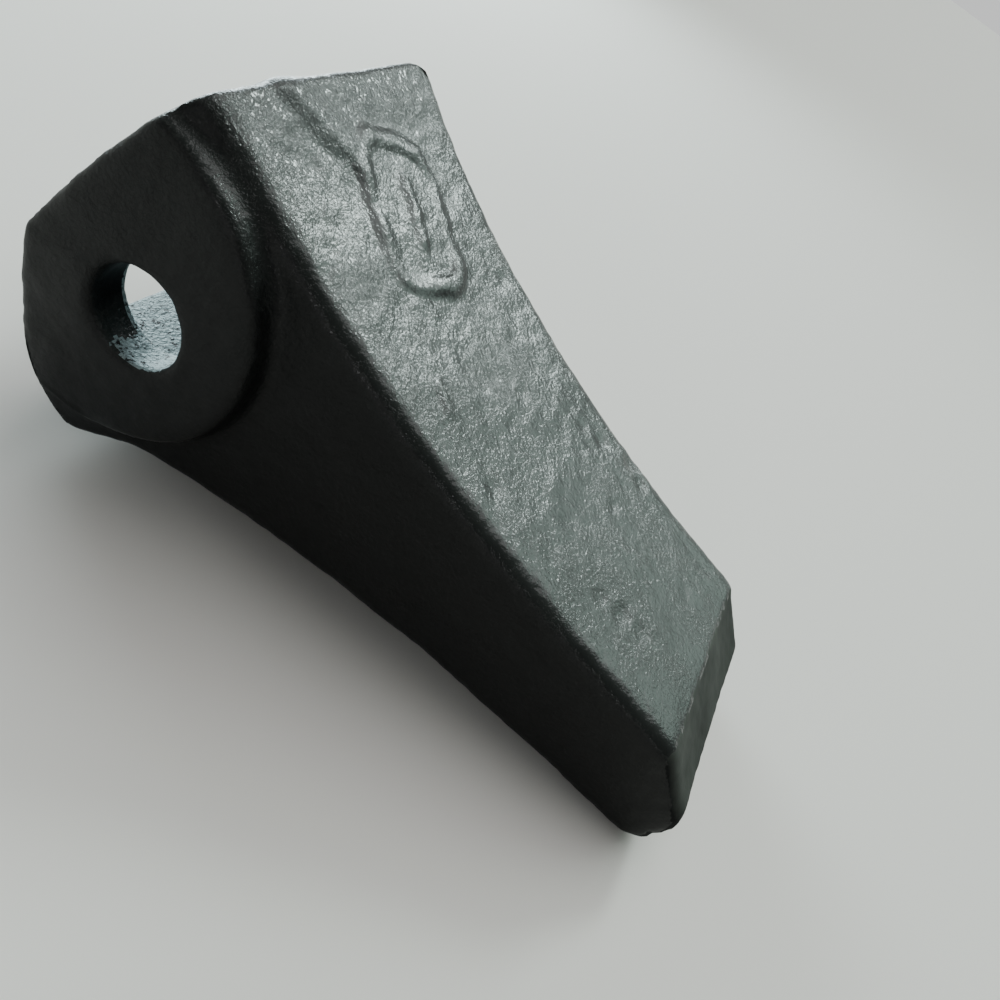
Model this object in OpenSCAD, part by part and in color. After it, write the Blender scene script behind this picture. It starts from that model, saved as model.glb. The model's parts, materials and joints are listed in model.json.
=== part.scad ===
// Excavator bucket tooth: a cast steel point with a wedge socket, held on its adapter by a cross pin.
// The origin is on the pin axis at mid width, +X runs out along the tooth to its tip, and the tooth
// is pitched nose down so that it lies on level ground on its tip and the rear edge of its socket.

/* [Tooth body] */
// Distance from the pin axis to the front of the tip
tip_reach = 188.5; // [186:0.5:194]
// Distance from the pin axis to the start of the bevel on the top face
bevel_start = 168; // [160:1:172]
// Depth of the body at the pin axis, top face to bottom face
pin_depth = 100; // [96:0.5:103]
// Depth of the body where the bevel starts
bevel_depth = 36; // [33:0.5:39]
// Height of the front of the bevel above the tooth axis
tip_top = 4; // [3:0.5:7]
// Angle of the top and bottom faces to the tooth axis at the pin axis
pin_flare = 23; // [20:0.5:25]
// Angle of the top and bottom faces to the tooth axis at the bevel
bevel_flare = 3; // [1:0.5:5]
// Width of the body at the pin axis, without the bosses
pin_width = 94.5; // [91:0.5:97]
// Width of the body at the tip
tip_width = 84.5; // [80:0.5:88]
// Radius of the long edges
edge_r = 5; // [3:0.5:6]

/* [Rear edge] */
// How far the ears reach behind the pin axis
ear_reach = 35; // [32:0.2:37]
// How far the rear edge curves forward from the middle of the ears to the top and bottom faces
rear_sweep = 22.6; // [18:0.2:25]
// How far the rearmost line of the ears is below the pin axis
rear_drop = 4; // [2:0.5:6]
// How far each end of the rear edge is eased forward at the face of an ear
rear_ease = 0.5; // [0.5:0.5:5]
// How much each flank leans out to the top corner of the rear edge
shoulder = 2.5; // [1:0.5:4]
// Distance in front of the pin axis at which the flanks start to lean out
shoulder_start = 12; // [8:1:20]

/* [Ears] */
// Width across the two ear bosses
boss_span = 109; // [106:0.5:112]
// Radius of a boss where it meets the flank
boss_r = 47; // [43:0.5:48]
// How much smaller the radius is at the face of the boss
boss_draft = 2; // [1:0.5:5]
// Distance of the boss centre behind the pin axis
boss_back = 14; // [12:0.5:18]
// Height of the boss centre above the pin axis
boss_rise = 1.5; // [0:0.5:3]
// Thickness of an ear at the pin bore
ear_t = 13; // [12.6:0.2:15]
// Diameter of the pin bore
bore_d = 25.6; // [25:0.1:26.4]

/* [Adapter socket] */
// Depth of the socket in front of the pin axis
socket_reach = 82; // [70:1:90]
// Height of the socket at the pin axis
socket_pin_h = 62; // [58:0.5:66]
// Height of the socket at its blind end
socket_end_h = 20; // [16:0.5:24]
// Width of the socket at its blind end
socket_end_w = 60; // [54:0.5:66]
// How far the flat inner faces of the ears run in front of the pin axis
ear_flat = 18; // [14:1:24]
// Radius of the socket corners
socket_r = 6; // [4:0.5:8]

/* [Retaining pin] */
// Diameter of the pin
pin_d = 24; // [23:0.1:24.6]
// Length of the pin
pin_l = 104; // [100:0.5:106]
// Chamfer at each end of the pin
pin_chamfer = 2; // [1:0.5:3]
// Distance from the tooth's middle to the inner end of the pin as it waits, half way in
pin_wait = 6; // [4:1:12]
// Length of the slot for the lock
slot_l = 22; // [18:1:24]
// How far the slot is from the middle of the pin
slot_shift = 10; // [10:1:14]
// Width of the slot for the lock
slot_w = 9; // [7:0.5:10]
// Distance of the slot floor below the pin axis
slot_floor = 4; // [2:0.5:5]
// Thickness of the rubber cushion
cushion_h = 8; // [6:0.5:9]
// How far the lock stands above the pin
lock_proud = 0.6; // [0.4:0.1:0.7]
// Clearance between the lock and its slot
lock_gap = 0.2; // [0.1:0.05:0.3]
// Length of the ramp at each end of the lock
lock_ramp = 4; // [3:0.5:6]

/* [Hidden] */

STEEL_PAINT = [0.16, 0.18, 0.18];
PIN_STEEL = [0.55, 0.55, 0.57];
RUBBER = [0.08, 0.08, 0.08];
LOCK_STEEL = [0.42, 0.42, 0.45];

body_steps = 14;        // sections from the rear of the body to the bevel
corner_steps = 5;       // points along each rounded corner of a section
rear_margin = 7;        // body left behind the ears, which the rear edge trims
tip_round = 6;          // rounding of the lower corner of the tip
rear_curl = 0.18;       // share of the rear edge's sweep that is left to its curved top end
tip_taper = 1.6;        // how much narrower the tip is at its front than at the bevel
trim_steps = 24;        // points along the curved rear edge
cut = 1;                // extra length of a cutting shape past a face
bore_fn = 96;

half_span = boss_span / 2;
socket_pin_w = boss_span - 2 * ear_t;
pin_y = pin_wait + pin_l / 2;
slot_y = pin_y + slot_shift;

// A cubic that has the values v0 and v1 and the slopes m0 and m1 at the ends of a span
function blend(t, v0, v1, m0, m1, span) =
    (2 * pow(t, 3) - 3 * pow(t, 2) + 1) * v0 + (pow(t, 3) - 2 * pow(t, 2) + t) * span * m0
    + (3 * pow(t, 2) - 2 * pow(t, 3)) * v1 + (pow(t, 3) - pow(t, 2)) * span * m1;
function half_depth(x) =
    blend(x / bevel_start, pin_depth, bevel_depth, -2 * tan(pin_flare), -2 * tan(bevel_flare), bevel_start) / 2;
function body_width(x) = blend(x / bevel_start, pin_width, tip_width, -0.06, 0, bevel_start);
function lean(x) = shoulder * pow(max(0, shoulder_start - x) / (shoulder_start - rear_corner_x), 2);

// Rear edge of the casting, seen from the side, at the height z: almost straight above its rearmost
// line, and a curve below it
function rear_x(z) =
    let (up = z + rear_drop, t = abs(up) / (rear_corner_z + sign(up) * rear_drop))
    rear_sweep * (up > 0 ? (1 - rear_curl) * t + rear_curl * pow(t, 4) : pow(t, 1.5)) - ear_reach;
rear_corner_x = rear_sweep - ear_reach;
rear_corner_z = half_depth(rear_corner_x);

// Nose down angle at which the lower corner of the tip and the rear edge both touch the ground
tip_corner_x = tip_reach - tip_round;
tip_corner_z = half_depth(tip_corner_x);
pitch = atan((rear_corner_z - tip_corner_z) / (tip_corner_x - rear_corner_x));

// One rounded section across the tooth, as a ring of points: s is
// [x, width, height of the top, height of the bottom, corner radius, lean of the flanks at the top]
function section(s) = [
    for (q = [0:3], k = [0:corner_steps])
        let (
            a = 90 * (q + k / corner_steps),
            sy = (q == 0 || q == 3) ? 1 : -1,
            z = (q < 2) ? s[2] - s[4] : s[3] + s[4],
            y = sy * (s[1] / 2 - s[4] + (q < 2 ? s[5] : 0))
        )
        [s[0], y + s[4] * cos(a), z + s[4] * sin(a)]
];

body_sections = concat(
    [
        for (i = [0:body_steps])
            let (x = -ear_reach - rear_margin + (bevel_start + ear_reach + rear_margin) * i / body_steps)
            [x, body_width(x), half_depth(x), -half_depth(x), edge_r, lean(x)]
    ],
    [
        [tip_corner_x, tip_width - tip_taper / 2, tip_top + 3, -tip_corner_z, edge_r, 0],
        [tip_reach - 1.5, tip_width - tip_taper, tip_top, -tip_corner_z + 3.5, edge_r, 0],
        [tip_reach, tip_width - 2 * tip_taper, tip_top - 3.5, -tip_corner_z + tip_round + 2, edge_r / 2, 0]
    ]
);

socket_slope_h = (socket_pin_h - socket_end_h) / socket_reach;
socket_slope_w = (socket_pin_w - socket_end_w) / (socket_reach - ear_flat);
function socket_section(x, w, h) = [x, w, h / 2, -h / 2, socket_r, 0];
socket_sections = [
    socket_section(-ear_reach - cut, socket_pin_w, socket_pin_h + socket_slope_h * (ear_reach + cut)),
    socket_section(ear_flat, socket_pin_w, socket_pin_h - socket_slope_h * ear_flat),
    socket_section(
        socket_reach - socket_r, socket_end_w + socket_slope_w * socket_r,
        socket_end_h + socket_slope_h * socket_r
    ),
    socket_section(socket_reach, socket_end_w - socket_r, socket_end_h - socket_r)
];

// The curved rear edge as a ring of points across the tooth at y, moved forward by ease
function trim_ring(y, ease) =
    let (top = rear_corner_z + 2 * cut)
    concat(
        [
            for (i = [0:trim_steps])
                let (z = -top + 2 * top * i / trim_steps)
                [rear_x(z) + ease, y, z]
        ],
        [[tip_reach + cut, y, top], [tip_reach + cut, y, -top]]
    );

// A solid through rings of equally many points, each ring anticlockwise seen from past the last one
module loft(rings) {
    n = len(rings[0]);
    last = len(rings) - 1;
    polyhedron(
        points = [for (r = rings) each r],
        faces = concat(
            [[for (j = [0:n - 1]) j]],
            [
                for (i = [0:last - 1], j = [0:n - 1])
                    let (a = i * n, b = a + n, k = (j + 1) % n)
                    each [[a + j, b + j, b + k], [a + j, b + k, a + k]]
            ],
            [[for (j = [n - 1:-1:0]) last * n + j]]
        ),
        convexity = 6
    );
}

// Everything in front of the curved rear edge, eased forward towards the faces of the ears
module rear_trim() {
    loft([
        trim_ring(-half_span - cut, 1.3 * rear_ease),
        trim_ring(-half_span, rear_ease),
        trim_ring(-half_span + 0.35 * ear_t, rear_ease / 3),
        trim_ring(-half_span + 0.75 * ear_t, 0),
        trim_ring(half_span - 0.75 * ear_t, 0),
        trim_ring(half_span - 0.35 * ear_t, rear_ease / 3),
        trim_ring(half_span, rear_ease),
        trim_ring(half_span + cut, 1.3 * rear_ease)
    ]);
}

module ear_boss(side) {
    translate([-boss_back, 0, boss_rise])
        rotate([-90 * side, 0, 0])
            translate([0, 0, half_span - ear_t])
                cylinder(h = ear_t, r1 = boss_r, r2 = boss_r - boss_draft, $fn = bore_fn);
}

module tooth_casting() {
    color(STEEL_PAINT)
        rotate([0, pitch, 0])
            difference() {
                intersection() {
                    union() {
                        loft([for (s = body_sections) section(s)]);
                        ear_boss(1);
                        ear_boss(-1);
                    }
                    rear_trim();
                }
                loft([for (s = socket_sections) section(s)]);
                rotate([90, 0, 0])
                    cylinder(h = boss_span + 2 * cut, d = bore_d, center = true, $fn = bore_fn);
            }
}

// Lays a shape drawn along Z on the pin axis, with its middle at y
module on_axis(y) {
    translate([0, y, 0]) rotate([90, 0, 0]) children();
}

module pin_body() {
    color(PIN_STEEL)
        difference() {
            on_axis(pin_y)
                union() {
                    cylinder(h = pin_l - 2 * pin_chamfer, d = pin_d, center = true, $fn = bore_fn);
                    for (side = [-1, 1])
                        translate([0, 0, side * (pin_l - pin_chamfer) / 2])
                            cylinder(
                                h = pin_chamfer, r1 = pin_d / 2 - (side < 0 ? pin_chamfer : 0),
                                r2 = pin_d / 2 - (side > 0 ? pin_chamfer : 0), center = true, $fn = bore_fn
                            );
                }
            translate([-slot_w / 2, slot_y - slot_l / 2, -slot_floor])
                cube([slot_w, slot_l, pin_d]);
        }
}

module pin_cushion() {
    color(RUBBER)
        translate([-slot_w / 2 + lock_gap, slot_y - slot_l / 2 + lock_gap, -slot_floor])
            cube([slot_w - 2 * lock_gap, slot_l - 2 * lock_gap, cushion_h]);
}

module pin_lock() {
    lock_l = slot_l - 2 * lock_gap;
    crest_r = pin_d / 2 + lock_proud;
    foot_r = crest_r - 2 * lock_ramp / 4;
    color(LOCK_STEEL)
        intersection() {
            translate([-slot_w / 2 + lock_gap, slot_y - lock_l / 2, cushion_h - slot_floor])
                cube([slot_w - 2 * lock_gap, lock_l, pin_d]);
            on_axis(slot_y)
                union() {
                    cylinder(h = lock_l - 2 * lock_ramp, r = crest_r, center = true, $fn = bore_fn);
                    for (side = [-1, 1])
                        translate([0, 0, side * (lock_l - lock_ramp) / 2])
                            cylinder(
                                h = lock_ramp, r1 = side < 0 ? foot_r : crest_r,
                                r2 = side > 0 ? foot_r : crest_r, center = true, $fn = bore_fn
                            );
                }
        }
}

tooth_casting();
pin_body();
pin_cushion();
pin_lock();
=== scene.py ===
"""Excavator bucket tooth: the cast tooth, its retaining pin set and a plain studio stage."""

import json
import math

import bmesh
import bpy
from mathutils import Matrix, Vector, noise


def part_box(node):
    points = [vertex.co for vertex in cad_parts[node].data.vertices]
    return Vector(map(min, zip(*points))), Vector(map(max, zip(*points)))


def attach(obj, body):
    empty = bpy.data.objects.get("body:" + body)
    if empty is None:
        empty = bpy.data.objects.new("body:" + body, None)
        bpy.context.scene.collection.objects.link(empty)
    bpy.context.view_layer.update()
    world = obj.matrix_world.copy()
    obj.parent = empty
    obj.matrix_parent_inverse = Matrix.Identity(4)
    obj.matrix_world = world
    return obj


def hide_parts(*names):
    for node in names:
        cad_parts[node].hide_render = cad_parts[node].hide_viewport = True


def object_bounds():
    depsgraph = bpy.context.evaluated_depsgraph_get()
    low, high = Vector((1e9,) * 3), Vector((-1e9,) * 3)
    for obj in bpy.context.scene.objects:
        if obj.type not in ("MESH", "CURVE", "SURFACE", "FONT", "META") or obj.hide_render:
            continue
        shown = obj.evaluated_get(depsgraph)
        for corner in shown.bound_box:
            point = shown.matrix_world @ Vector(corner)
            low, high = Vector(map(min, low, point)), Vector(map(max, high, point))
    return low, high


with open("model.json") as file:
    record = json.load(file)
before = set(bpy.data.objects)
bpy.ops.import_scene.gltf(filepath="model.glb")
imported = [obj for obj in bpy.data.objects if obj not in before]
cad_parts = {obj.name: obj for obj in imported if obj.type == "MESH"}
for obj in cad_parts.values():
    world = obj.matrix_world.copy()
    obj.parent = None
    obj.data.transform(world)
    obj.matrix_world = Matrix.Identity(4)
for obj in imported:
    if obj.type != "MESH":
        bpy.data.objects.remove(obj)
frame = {"nodes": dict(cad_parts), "record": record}

bl_info = {
    "name": "Bucket Tooth",
    "version": (1, 0, 0),
    "blender": (4, 5, 0),
    "location": "View3D > Sidebar > Tooth",
    "description": "Builds a cast excavator bucket tooth with its retaining pin around the packed frame",
    "category": "Object",
}

MM = 0.001
CAD_BOX = [list(corner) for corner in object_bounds()]
CASTING_BOX = [list(corner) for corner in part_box("tooth_casting")]
MOUNTS = {mount["name"]: mount for mount in frame["record"]["mounts"]}
SOCKET_AXIS = Vector(MOUNTS["adapter_socket"]["axis"])
PITCH = math.atan2(SOCKET_AXIS.z, -SOCKET_AXIS.x)        # nose down, so that the tooth lies on the ground
TOOTH_TURN = Matrix.Rotation(PITCH, 4, "Y")              # from the tooth's own axes to the frame's
GROUND = CAD_BOX[0][2]


def colour(hex_text):
    """The linear RGBA of an sRGB hex colour."""
    parts = [int(hex_text[i:i + 2], 16) / 255 for i in (1, 3, 5)]
    return [p / 12.92 if p <= 0.04045 else ((p + 0.055) / 1.055) ** 2.4 for p in parts] + [1.0]


def smooth(low, high, value):
    """Runs from 0 to 1 with flat ends as value goes from low to high."""
    t = min(max((value - low) / (high - low), 0.0), 1.0)
    return t * t * (3 - 2 * t)


# ---- Settings ---------------------------------------------------------------------------------


class ToothSettings(bpy.types.PropertyGroup):
    """Sizes and colours of the casting"""

    grid: bpy.props.FloatProperty(
        name="Skin grid", description="Edge length of the casting's skin mesh",
        default=1.3 * MM, min=0.9 * MM, max=4 * MM, unit="LENGTH", precision=4,
    )
    smoothing: bpy.props.IntProperty(
        name="Edge wear", description="Smoothing passes that round the cast edges",
        default=4, min=0, max=40,
    )
    swell: bpy.props.FloatProperty(
        name="Sand swell", description="Height of the slow waves that the sand mould leaves",
        default=0.35 * MM, min=0, max=1 * MM, unit="LENGTH", precision=5,
    )
    relief: bpy.props.FloatProperty(
        name="Relief height", description="Height of the raised tablet and ribs on the top face",
        default=1.3 * MM, min=0.5 * MM, max=3 * MM, unit="LENGTH", precision=5,
    )
    paint: bpy.props.StringProperty(
        name="Paint", description="sRGB hex of the bituminous paint", default="#090b0b",
    )
    # Painted light: this paler colour on upward faces is partly a settled deposit and partly painted top
    # light, the sheen that light gives the top face.
    dust_and_top_light_colour: bpy.props.StringProperty(
        name="Paint bloom", description="sRGB hex of the dusty film on upward faces", default="#272d2a",
    )
    scuff: bpy.props.StringProperty(
        name="Tip scuff", description="sRGB hex of the dusty bevel at the tip", default="#4d534d",
    )
    # Painted light: this pale tone is the unpainted socket steel, and on the lower front side of the bore it
    # is painted light, where light falls in.
    unpainted_and_bore_light: bpy.props.StringProperty(
        name="Bare steel", description="sRGB hex of the unpainted steel in the socket and bore",
        default="#93a4a6",
    )


class PinSettings(bpy.types.PropertyGroup):
    """Colours of the retaining pin set"""

    steel: bpy.props.StringProperty(
        name="Pin steel", description="sRGB hex of the turned steel", default="#8f9092",
    )
    lock: bpy.props.StringProperty(
        name="Lock steel", description="sRGB hex of the dark heat treated lock", default="#55565a",
    )
    rubber: bpy.props.StringProperty(
        name="Rubber", description="sRGB hex of the cushion", default="#141414",
    )


class StageSettings(bpy.types.PropertyGroup):
    """Floor, light and camera"""

    floor: bpy.props.StringProperty(
        name="Floor", description="sRGB hex of the studio floor", default="#f4f2ec",
    )
    sky: bpy.props.FloatProperty(
        name="Room light", description="Strength of the even room light", default=0.22, min=0, max=3,
    )
    lens: bpy.props.FloatProperty(
        name="Lens", description="Focal length on a 36 mm wide sensor", default=31.57, min=20, max=120,
    )


# ---- Materials --------------------------------------------------------------------------------


def add_node(tree, kind, inputs=None, **settings):
    """Adds a node: settings are its own properties, inputs its sockets' values or what feeds them."""
    new = tree.nodes.new(kind)
    for name, value in settings.items():
        setattr(new, name, value)
    for name, value in (inputs or {}).items():
        if isinstance(value, bpy.types.NodeSocket):
            tree.links.new(value, new.inputs[name])
        else:
            new.inputs[name].default_value = value
    return new


def new_material(name):
    """An empty node material with its output, and the tree to fill."""
    material = bpy.data.materials.new(name)
    material.use_nodes = True
    material.node_tree.nodes.clear()
    return material, material.node_tree


def finish_material(tree, surface):
    """Ends a material at its surface shader."""
    add_node(tree, "ShaderNodeOutputMaterial", {"Surface": surface.outputs[0]})


LUMP = 6 * MM                    # size of the slow lumps under the paint
PATCH = 22 * MM                  # size of the patches in which the sand grains are coarser
GRAIN = 1.2 * MM                 # size of a sand grain
MOULD_SCALE = 1.6 * MM           # size of the black flecks of mould scale on bare steel


def upward(tree):
    """How far a face looks up: the upward part of its normal."""
    normal = add_node(tree, "ShaderNodeNewGeometry").outputs["Normal"]
    return add_node(tree, "ShaderNodeSeparateXYZ", {"Vector": normal}).outputs["Z"]


def sand_skin(tree, place):
    """The skin that a sand mould leaves: the normal of its slow lumps, the normal of the sand grains on top
    of them, and the patches they come in. The grains are coarsest at the rear, and on the sides, where no
    dust evens them out."""
    lumps = add_node(tree, "ShaderNodeTexNoise",
                     {"Vector": place, "Scale": 1 / LUMP, "Detail": 4.0, "Roughness": 0.55})
    patches = add_node(tree, "ShaderNodeTexNoise",
                       {"Vector": place, "Scale": 1 / PATCH, "Detail": 3.0, "Roughness": 0.6})
    grains = add_node(tree, "ShaderNodeTexNoise",
                      {"Vector": place, "Scale": 1 / GRAIN, "Detail": 2.0, "Roughness": 0.6})
    along = add_node(tree, "ShaderNodeSeparateXYZ", {"Vector": place})
    rear = add_node(tree, "ShaderNodeMapRange",
                    {"Value": along.outputs["X"], "From Min": 34 * MM, "From Max": -8 * MM,
                     "To Min": 0.0, "To Max": 1.0})
    patchy = add_node(tree, "ShaderNodeMapRange",
                      {"Value": patches.outputs["Fac"], "From Min": 0.46, "From Max": 0.66,
                       "To Min": 0.25, "To Max": 0.65})
    coarse = add_node(tree, "ShaderNodeMath", {0: rear.outputs["Result"], 1: patchy.outputs["Result"]},
                      operation="MAXIMUM")
    undusted = add_node(tree, "ShaderNodeMapRange",
                        {"Value": upward(tree), "From Min": 0.3, "From Max": 0.8,
                         "To Min": 2.6, "To Max": 1.0})
    amount = add_node(tree, "ShaderNodeMath", {0: coarse.outputs[0], 1: undusted.outputs["Result"]},
                      operation="MULTIPLY")
    crests = add_node(tree, "ShaderNodeMapRange",
                      {"Value": grains.outputs["Fac"], "From Min": 0.38, "From Max": 0.68})
    height = add_node(tree, "ShaderNodeMath", {0: crests.outputs["Result"], 1: amount.outputs[0]},
                      operation="MULTIPLY")
    slow = add_node(tree, "ShaderNodeBump",
                    {"Height": lumps.outputs["Fac"], "Strength": 0.7, "Distance": 0.4 * MM})
    fine = add_node(tree, "ShaderNodeBump",
                    {"Height": height.outputs[0], "Strength": 1.0, "Distance": 0.3 * MM,
                     "Normal": slow.outputs["Normal"]})
    return slow.outputs["Normal"], fine.outputs["Normal"], patches.outputs["Fac"]


def bituminous_paint(settings, name, dust_and_light_colour, gloss_range, coat):
    """Black bituminous paint, dipped over a rough sand cast skin. The paint itself shines softly, and its
    glossy coat sparkles on the sand grains. A paler layer lies on the faces that look up: partly a settled
    deposit, partly painted light, the sheen that light gives the top face. The coat is strongest there."""
    material, tree = new_material(name)
    place = add_node(tree, "ShaderNodeTexCoord").outputs["Object"]
    slow, fine, patches = sand_skin(tree, place)
    # Painted light: the mask below lightens upward faces, partly as a settled deposit and partly as the
    # painted sheen of the top; the coat follows the same mask.
    dust_and_top_light = add_node(tree, "ShaderNodeMapRange",
                     {"Value": upward(tree), "From Min": 0.35, "From Max": 0.85})
    thin = add_node(tree, "ShaderNodeMapRange",
                    {"Value": patches, "From Min": 0.3, "From Max": 0.7, "To Min": 0.55, "To Max": 1.0})
    dust_and_light_share = add_node(tree, "ShaderNodeMath", {0: dust_and_top_light.outputs["Result"], 1: thin.outputs["Result"]},
                    operation="MULTIPLY")
    base = add_node(tree, "ShaderNodeMix",
                    {"Factor": dust_and_light_share.outputs[0], "A": colour(settings.paint), "B": colour(dust_and_light_colour)},
                    data_type="RGBA")
    gloss = add_node(tree, "ShaderNodeMapRange",
                     {"Value": patches, "From Min": 0.3, "From Max": 0.7,
                      "To Min": gloss_range[0], "To Max": gloss_range[1]})
    shine = add_node(tree, "ShaderNodeMapRange",
                     {"Value": dust_and_top_light.outputs["Result"], "To Min": 0.2 * coat, "To Max": coat})
    surface = add_node(tree, "ShaderNodeBsdfPrincipled",
                       {"Base Color": base.outputs["Result"], "Roughness": gloss.outputs["Result"],
                        "IOR": 1.5, "Specular IOR Level": 0.12, "Normal": slow,
                        "Coat Weight": shine.outputs["Result"], "Coat Roughness": 0.14,
                        "Coat Normal": fine})
    finish_material(tree, surface)
    return material


def unpainted_steel_and_bore_light(settings):
    """Unpainted sand cast steel in the socket, pale and rough, with black mould scale. Its pale tone is
    partly painted light: in the bore it lies only on the lower front side, where light falls in, and the
    shaded wall keeps the black paint.
    """
    material, tree = new_material("unpainted_steel_and_painted_bore_light")
    place = add_node(tree, "ShaderNodeTexCoord").outputs["Object"]
    fine = sand_skin(tree, place)[1]
    scale = add_node(tree, "ShaderNodeTexNoise",
                     {"Vector": place, "Scale": 1 / MOULD_SCALE, "Detail": 3.0, "Roughness": 0.7})
    black = add_node(tree, "ShaderNodeMapRange",
                     {"Value": scale.outputs["Fac"], "From Min": 0.53, "From Max": 0.62})
    base = add_node(tree, "ShaderNodeMix",
                    {"Factor": black.outputs["Result"], "A": colour(settings.unpainted_and_bore_light),
                     "B": colour(settings.paint)}, data_type="RGBA")
    surface = add_node(tree, "ShaderNodeBsdfPrincipled",
                       {"Base Color": base.outputs["Result"], "Roughness": 0.55, "Metallic": 0.35,
                        "Normal": fine})
    finish_material(tree, surface)
    return material


def turned_steel(name, hex_text, roughness):
    """Turned and oiled steel bar: fine tool rings run round the pin, and old oil leaves soft smears."""
    material, tree = new_material(name)
    place = add_node(tree, "ShaderNodeTexCoord").outputs["Object"]
    rings = add_node(tree, "ShaderNodeTexWave",
                     {"Vector": place, "Scale": 1 / (3 * MM), "Distortion": 0.4, "Detail": 2.0},
                     bands_direction="Y")
    smear = add_node(tree, "ShaderNodeTexNoise", {"Vector": place, "Scale": 1 / (9 * MM), "Detail": 4.0})
    bump = add_node(tree, "ShaderNodeBump",
                    {"Height": rings.outputs["Fac"], "Strength": 0.25, "Distance": 0.05 * MM})
    shade = add_node(tree, "ShaderNodeMapRange",
                     {"Value": smear.outputs["Fac"], "From Min": 0.3, "From Max": 0.7,
                      "To Min": roughness - 0.08, "To Max": roughness + 0.12})
    dark = [0.6 * c for c in colour(hex_text)[:3]] + [1.0]
    base = add_node(tree, "ShaderNodeMix",
                    {"Factor": smear.outputs["Fac"], "A": dark, "B": colour(hex_text)}, data_type="RGBA")
    surface = add_node(tree, "ShaderNodeBsdfPrincipled",
                       {"Base Color": base.outputs["Result"], "Metallic": 1.0,
                        "Roughness": shade.outputs["Result"], "Normal": bump.outputs["Normal"]})
    finish_material(tree, surface)
    return material


def moulded_rubber(hex_text):
    """Moulded black rubber: matt, with a faint even grain."""
    material, tree = new_material("moulded_black_rubber")
    place = add_node(tree, "ShaderNodeTexCoord").outputs["Object"]
    grain = add_node(tree, "ShaderNodeTexNoise", {"Vector": place, "Scale": 1 / (0.8 * MM), "Detail": 2.0})
    bump = add_node(tree, "ShaderNodeBump",
                    {"Height": grain.outputs["Fac"], "Strength": 0.4, "Distance": 0.05 * MM})
    surface = add_node(tree, "ShaderNodeBsdfPrincipled",
                       {"Base Color": colour(hex_text), "Roughness": 0.7, "Normal": bump.outputs["Normal"]})
    finish_material(tree, surface)
    return material


def plain_floor(hex_text):
    """Matt painted studio floor."""
    material, tree = new_material("matt_studio_floor")
    surface = add_node(tree, "ShaderNodeBsdfPrincipled",
                       {"Base Color": colour(hex_text), "Roughness": 0.9, "Specular IOR Level": 0.2})
    finish_material(tree, surface)
    return material


# ---- The casting's surface ----------------------------------------------------------------------
# Places here are in the tooth's own axes, in millimetres: x along the tooth, y across, z up.

TABLET = {
    "centre": Vector((22, 4)), "turn": math.radians(-18), "half_long": 18.5, "half_wide": 14.5, "corner": 9,
}
BAR = (Vector((15, 8)), Vector((29, 3)))                             # on the tablet
LEDGE = (Vector((-24, -33)), Vector((-6, -23)), Vector((6, -12)))    # from the rear edge to the tablet
SPUR = (Vector((60, -24)), Vector((67, -27)))
HOLLOWS = (                      # centre, radius and share of the relief height
    ((129, -21), 4.5, 0.35), ((137, -19), 5.0, 0.5), ((145, -17), 4.0, 0.35), ((118, 12), 3.0, 0.3),
    ((116, 37), 5.0, 0.7), ((122, 34), 4.0, 0.5), ((96, 26), 3.5, 0.25), ((104, 30), 4.0, 0.35),
    ((76, 8), 3.0, 0.2), ((152, 14), 3.5, 0.2), ((48, 34), 4.0, 0.3), ((88, -30), 3.5, 0.25),
)
WANDER_SEED = 1                  # the drawn wander of the raised marks, the same in each run
TOP_FACING = 0.45                # a vertex of the top face looks up at least this much
TOP_SPAN = (-30, 165)            # from the rear edge to the bevel
TOP_FLOOR = 8                    # below all of the top face
PARTING = -5                     # height of the mould's parting line on the ears
EAR_DRAFT = 0.055                # how fast the ears narrow below the parting line
EAR_FACE = 54.2                  # half width across the ears at the parting line
EAR_FRONT = 40                   # ahead of both ears
FLANK = 46                       # half width of the body between the ears
REAR_CORNER = Vector((-14.0, 49.6))   # the far top rear corner before it is rounded, as x and y
REAR_ROUND = 18.0                # radius that rounds it
REAR_RISE = (42, 49)             # heights between which that rounding sets in
HEEL = Vector((1.0, -22.0))      # centre of the lower rear rounding, as x and z
HEEL_ROUND = 27.5                # radius of that rounding
HEEL_RISE = (-28, -40)           # heights between which it sets in
NOTCH = Vector((187.2, -7.5))    # the tip's lower lip, as x and z
NOTCH_DEPTH = 1.1
SOCKET_WALL = 43.2               # half width that is inside the socket
SOCKET_MOUTH = -35               # where the socket opens
SOCKET_END = 84                  # where it ends
SOCKET_HALF = 44                 # half height that is inside the socket at its mouth
SOCKET_SLOPE = 0.275             # how fast that shrinks towards its end
BORE_WALL = 13.3                 # radius that is inside the pin bore
BORE_RIM = 53.5                  # half width up to which the bore's lower side is painted pale as light
BORE_LIGHT_SIDE = Vector((0.69, -0.73))     # the lower front side of the bore, where light falls in and pale steel is painted as light, as x and z
BORE_LIGHT_START = 8                   # how far out that starts
BEVEL = 168.3                    # where the tip's bevel starts


def from_segment(point, start, end):
    """The vector from the nearest place of a segment to a point."""
    along = end - start
    t = min(max((point - start).dot(along) / along.length_squared, 0.0), 1.0)
    return point - start - t * along


def stroke(point, start, end, half_width):
    """How strongly a raised bar from start to end covers a point of the face: 1 on its crest."""
    return 1 - smooth(0.35 * half_width, half_width, from_segment(point, start, end).length)


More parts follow.
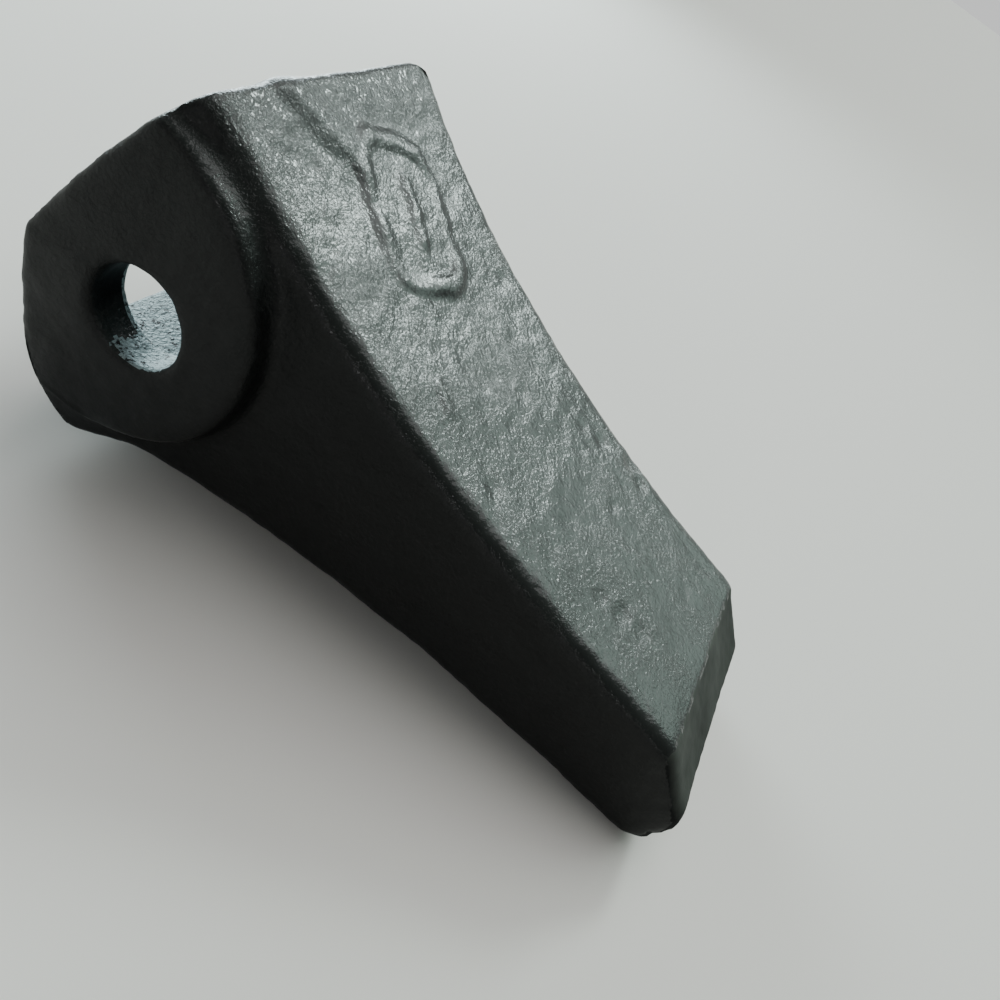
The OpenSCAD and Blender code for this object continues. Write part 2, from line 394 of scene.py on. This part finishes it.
def ring(point, centre, turn, half_long, half_wide, corner, half_width):
    """How strongly the raised border of a rounded tablet covers a point, and whether the point is in it."""
    local = point - centre
    local.rotate(Matrix.Rotation(-turn, 2))
    over = Vector((abs(local.x) - half_long + corner, abs(local.y) - half_wide + corner))
    outside = Vector((max(over.x, 0.0), max(over.y, 0.0))).length + min(max(over.x, over.y), 0.0) - corner
    return 1 - smooth(0.3 * half_width, half_width, abs(outside)), 1 - smooth(-2, 0, outside)


def ledge(point, route, rise, fall):
    """A step along a route: it rises steeply on one side of the route and falls away slowly on the other."""
    start, end = min(zip(route, route[1:]), key=lambda ends: from_segment(point, *ends).length)
    away = from_segment(point, start, end)
    along = end - start
    side = math.copysign(away.length, along.x * away.y - along.y * away.x)
    return smooth(-rise, rise, side) * (1 - smooth(rise, fall, side)) if side > -rise else 0.0


def top_relief(x, y):
    """Raised marks and hollows of the top face at a place, as shares of the relief height."""
    wander = noise.noise_vector(Vector((x, y, 0)) / 5)
    point = Vector((x + 0.9 * wander.x, y + 0.9 * wander.y))
    border, inside = ring(point, **TABLET, half_width=4.0)
    wear_and_bore_light = 0.65 + 0.5 * noise.noise(Vector((x, y, 40)) / 9)
    raised = max(
        border * wear_and_bore_light, 0.35 * inside, 0.75 * stroke(point, *BAR, 3.6) * inside,
        0.8 * ledge(point, LEDGE, 3.0, 14.0), 0.4 * stroke(point, *SPUR, 2.2),
    )
    sunk = sum(
        depth * smooth(radius, 0.2 * radius, (point - Vector(centre)).length)
        for centre, radius, depth in HOLLOWS
    )
    return raised * smooth(-32, -20, x) - sunk


def overshoot(out, radius):
    """The share of out, which leads away from a rounding's centre, that lies beyond its radius."""
    return 1 - radius / out.length if min(out) > 0 and out.length > radius else 0.0


def shape_corners(place):
    """Rounds the far top rear corner and the heels, drafts the ears below the parting line, lets them run
    flush into the body at the heel, and notches the tip's lower lip."""
    side = 1 if place.y > 0 else -1
    if side > 0:
        out = Vector((REAR_CORNER.x + REAR_ROUND - place.x, place.y - REAR_CORNER.y + REAR_ROUND))
        pull = smooth(*REAR_RISE, place.z) * overshoot(out, REAR_ROUND)
        place.x += pull * out.x
        place.y -= pull * out.y
    if place.z < PARTING and abs(place.y) > FLANK and place.x < EAR_FRONT:
        place.y -= side * EAR_DRAFT * (PARTING - place.z) * smooth(FLANK, FLANK + 6, abs(place.y))
    heel = smooth(-24, -38, place.z) * smooth(16, -4, place.x) * smooth(FLANK - 2.5, FLANK, abs(place.y))
    flush = side * (EAR_FACE - EAR_DRAFT * (PARTING - place.z))
    if heel > 0 and abs(flush) > abs(place.y):
        place.y += heel * (flush - place.y)
    out = Vector((HEEL.x - place.x, HEEL.y - place.z))
    pull = smooth(*HEEL_RISE, place.z) * overshoot(out, HEEL_ROUND)
    place.x += pull * out.x
    place.z += pull * out.y
    place.x -= NOTCH_DEPTH * (1 - smooth(0.6, 2.6, math.hypot(place.x - NOTCH.x, place.z - NOTCH.y)))
    return place


def cast_surface(verts, settings, low, high):
    """Gives the skin its corners, its raised marks and the slow swell of the sand mould, inside a box."""
    noise.seed_set(WANDER_SEED)
    to_tooth = TOOTH_TURN.inverted()
    for vert in verts:
        place = to_tooth @ vert.co / MM
        facing = (to_tooth.to_3x3() @ vert.normal).z
        lift = 0.0
        if facing > TOP_FACING and TOP_SPAN[0] < place.x < TOP_SPAN[1] and place.z > TOP_FLOOR:
            lift += settings.relief * top_relief(place.x, place.y)
        swell = noise.noise(place / 24) + 0.5 * noise.noise(place / 9 + Vector((7, 3, 1)))
        grit = 0.5 * noise.noise(place / 3.4 + Vector((2, 9, 4)))
        lift += settings.swell * (swell + grit - 0.5)
        moved = TOOTH_TURN @ (shape_corners(place) * MM) + vert.normal * lift
        vert.co = Vector(max(low[i], min(high[i], moved[i])) for i in range(3))


def finish_at(face):
    """The material slot of a face: 0 is glossy paint, 1 is pale unpainted steel in the socket and pale steel
    painted as light on the lower front side of the bore, where light falls in, 2 is scuffed paint on the
    tip's bevel."""
    to_tooth = TOOTH_TURN.inverted()
    place = to_tooth @ face.calc_center_median() / MM
    stray = noise.noise(place / 4)
    half_height = SOCKET_HALF - SOCKET_SLOPE * (place.x - SOCKET_MOUTH)
    if abs(place.y) < SOCKET_WALL and abs(place.z) < half_height and place.x < SOCKET_END:
        return 1
    from_axis = Vector((place.x, place.z))
    # Painted light: pale steel goes on the lower front side of the bore, where light falls in; the shaded
    # wall keeps the black paint.
    wear_and_bore_light = from_axis.dot(BORE_LIGHT_SIDE) > BORE_LIGHT_START + 3 * stray and abs(place.y) < BORE_RIM
    if wear_and_bore_light and from_axis.length < BORE_WALL:
        return 1
    looks_ahead = (to_tooth.to_3x3() @ face.normal).x > 0.35
    return 2 if looks_ahead and place.x > BEVEL + stray else 0


# ---- Pieces -----------------------------------------------------------------------------------


class OBJECT_OT_cast_tooth(bpy.types.Operator):
    """Builds the painted casting: the tooth body, its two ears, the socket and the raised marks"""

    bl_idname = "tooth.cast_tooth"
    bl_label = "Cast tooth"

    def execute(self, context):
        settings = context.scene.tooth_settings
        mesh = frame["nodes"]["tooth_casting"].data.copy()
        mesh.name = "cast_tooth"
        mesh.materials.clear()
        piece = bpy.data.objects.new("cast_tooth", mesh)
        context.scene.collection.objects.link(piece)
        skin = bmesh.new()
        skin.from_mesh(mesh)
        bmesh.ops.remove_doubles(skin, verts=skin.verts, dist=0.01 * MM)
        skin.to_mesh(mesh)
        skin.free()

        remesh = piece.modifiers.new("sand_skin", "REMESH")
        remesh.mode = "VOXEL"
        remesh.voxel_size = settings.grid
        depsgraph = context.evaluated_depsgraph_get()
        mesh = bpy.data.meshes.new_from_object(piece.evaluated_get(depsgraph))
        piece.modifiers.clear()
        piece.data = mesh
        mesh.name = "cast_tooth"

        skin = bmesh.new()
        skin.from_mesh(mesh)
        for _ in range(settings.smoothing):
            bmesh.ops.smooth_vert(
                skin, verts=skin.verts, factor=0.5, use_axis_x=True, use_axis_y=True, use_axis_z=True
            )
        skin.normal_update()
        cast_surface(skin.verts, settings, *CASTING_BOX)
        for face in skin.faces:
            face.smooth = True
            face.material_index = finish_at(face)
        skin.to_mesh(mesh)
        skin.free()
        mesh.materials.append(bituminous_paint(
            settings, "bituminous_paint_on_sand_cast_steel", settings.dust_and_top_light_colour, (0.5, 0.4), 0.6
        ))
        mesh.materials.append(unpainted_steel_and_bore_light(settings))
        mesh.materials.append(bituminous_paint(
            settings, "scuffed_paint_on_sand_cast_steel", settings.scuff, (0.8, 0.68), 0.0
        ))
        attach(piece, "tooth")
        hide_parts("tooth_casting")
        return {"FINISHED"}


class OBJECT_OT_retaining_pin(bpy.types.Operator):
    """Finishes the retaining pin, its rubber cushion and its lock"""

    bl_idname = "tooth.retaining_pin"
    bl_label = "Retaining pin"

    def execute(self, context):
        settings = context.scene.pin_settings
        finishes = {
            "pin_body": turned_steel("turned_oiled_steel", settings.steel, 0.32),
            "pin_cushion": moulded_rubber(settings.rubber),
            "pin_lock": turned_steel("heat_treated_steel", settings.lock, 0.42),
        }
        for node, finish in finishes.items():
            slots = frame["nodes"][node].data.materials
            slots.clear()
            slots.append(finish)
        return {"FINISHED"}


# ---- Stage ------------------------------------------------------------------------------------

CAMERA_PLACE = Vector((101.0, -204.4, 138.6)) * MM
CAMERA_AIM = Vector((92.5, -8.4, -16.4)) * MM
CAMERA_ROLL = math.radians(36.46)
CAMERA_SHIFT = (0.0134, 0.0127)
SUNS = (                         # name, direction towards it, spread in degrees, strength, colour
    ("window", (0.50, 0.70, 0.50), 30, 0.6, "#dcfaee"),
    ("glint", (0.14, 0.83, 0.55), 12, 1.35, "#e9fbf6"),
    ("ceiling", (0.1, 0.45, 0.88), 60, 1.5, "#ffffff"),
    ("spark", (0.1, -0.97, 0.15), 14, 0.4, "#ffffff"),
)


def add_light(name, place, aim, size, power, hex_text):
    """A soft rectangular light of size (width, height) at place, turned to aim."""
    lamp = bpy.data.lights.new(name, "AREA")
    lamp.shape = "RECTANGLE"
    lamp.size, lamp.size_y = size
    lamp.energy = power
    lamp.color = colour(hex_text)[:3]
    light = bpy.data.objects.new(name, lamp)
    light.location = place
    light.rotation_euler = (Vector(aim) - Vector(place)).to_track_quat("-Z", "Y").to_euler()
    light.visible_camera = False
    bpy.context.scene.collection.objects.link(light)


def add_sun(name, towards, spread, strength, hex_text):
    """An even light from one side, as soft as a window of the given angle: towards points at the light."""
    lamp = bpy.data.lights.new(name, "SUN")
    lamp.angle = math.radians(spread)
    lamp.energy = strength
    lamp.color = colour(hex_text)[:3]
    light = bpy.data.objects.new(name, lamp)
    light.rotation_euler = Vector(towards).to_track_quat("Z", "Y").to_euler()
    bpy.context.scene.collection.objects.link(light)


def add_room(strength):
    """A pale room: bright at the height of the horizon, and dimmer overhead."""
    world = bpy.data.worlds.new("room")
    world.use_nodes = True
    tree = world.node_tree
    tree.nodes.clear()
    towards = add_node(tree, "ShaderNodeTexCoord").outputs["Generated"]
    up = add_node(tree, "ShaderNodeSeparateXYZ", {"Vector": towards})
    level = add_node(tree, "ShaderNodeMapRange",
                     {"Value": up.outputs["Z"], "From Min": 0.03, "From Max": 0.08,
                      "To Min": 4.0 * strength, "To Max": strength})
    light = add_node(tree, "ShaderNodeBackground",
                     {"Color": colour("#f1f3f2"), "Strength": level.outputs["Result"]})
    add_node(tree, "ShaderNodeOutputWorld", {"Surface": light.outputs[0]})
    bpy.context.scene.world = world


def add_floor(settings):
    """A wide pale floor that runs to the horizon."""
    floor_mesh = bmesh.new()
    bmesh.ops.create_grid(floor_mesh, x_segments=1, y_segments=1, size=60.0)
    bmesh.ops.translate(floor_mesh, verts=floor_mesh.verts, vec=(0, 0, GROUND))
    mesh = bpy.data.meshes.new("studio_floor")
    floor_mesh.to_mesh(mesh)
    floor_mesh.free()
    mesh.materials.append(plain_floor(settings.floor))
    floor = bpy.data.objects.new("studio_floor", mesh)
    bpy.context.scene.collection.objects.link(floor)


def add_camera(settings):
    """The camera, close to the tooth and rolled, as a phone is held over it."""
    data = bpy.data.cameras.new("camera")
    data.sensor_width = 36
    data.lens = settings.lens
    data.shift_x, data.shift_y = CAMERA_SHIFT
    data.clip_start = 0.01
    camera = bpy.data.objects.new("camera", data)
    turn = (CAMERA_AIM - CAMERA_PLACE).to_track_quat("-Z", "Y").to_matrix().to_4x4()
    camera.matrix_world = Matrix.Translation(CAMERA_PLACE) @ turn @ Matrix.Rotation(CAMERA_ROLL, 4, "Z")
    bpy.context.scene.collection.objects.link(camera)
    bpy.context.scene.camera = camera


class SCENE_OT_studio_stage(bpy.types.Operator):
    """Sets the pale floor, the soft lights and the camera"""

    bl_idname = "tooth.studio_stage"
    bl_label = "Studio stage"

    def execute(self, context):
        settings = context.scene.stage_settings
        add_room(settings.sky)
        add_floor(settings)
        for sun in SUNS:
            add_sun(*sun)
        add_light("doorway", (-0.8, 0.7, 0.2), (0, 0, 0), (0.8, 0.5), 16, "#dff0f4")
        add_camera(settings)
        return {"FINISHED"}


# ---- Add-on -----------------------------------------------------------------------------------


class VIEW3D_PT_tooth(bpy.types.Panel):
    """Buttons and settings of the tooth"""

    bl_label = "Bucket Tooth"
    bl_space_type = "VIEW_3D"
    bl_region_type = "UI"
    bl_category = "Tooth"

    def draw(self, context):
        layout = self.layout
        for operator in OPERATORS:
            layout.operator(operator.bl_idname)
        for name, group in SETTINGS.items():
            for field in group.__annotations__:
                layout.prop(getattr(context.scene, name), field)


OPERATORS = (OBJECT_OT_cast_tooth, OBJECT_OT_retaining_pin, SCENE_OT_studio_stage)
SETTINGS = {
    "tooth_settings": ToothSettings,
    "pin_settings": PinSettings,
    "stage_settings": StageSettings,
}


def register():
    for group in (*SETTINGS.values(), *OPERATORS, VIEW3D_PT_tooth):
        bpy.utils.register_class(group)
    for name, group in SETTINGS.items():
        setattr(bpy.types.Scene, name, bpy.props.PointerProperty(type=group))


def unregister():
    for name in SETTINGS:
        delattr(bpy.types.Scene, name)
    for group in reversed((*SETTINGS.values(), *OPERATORS, VIEW3D_PT_tooth)):
        bpy.utils.unregister_class(group)


def main():
    register()
    bpy.ops.tooth.cast_tooth()
    bpy.ops.tooth.retaining_pin()
    bpy.ops.tooth.studio_stage()


if __name__ == "__main__":
    main()
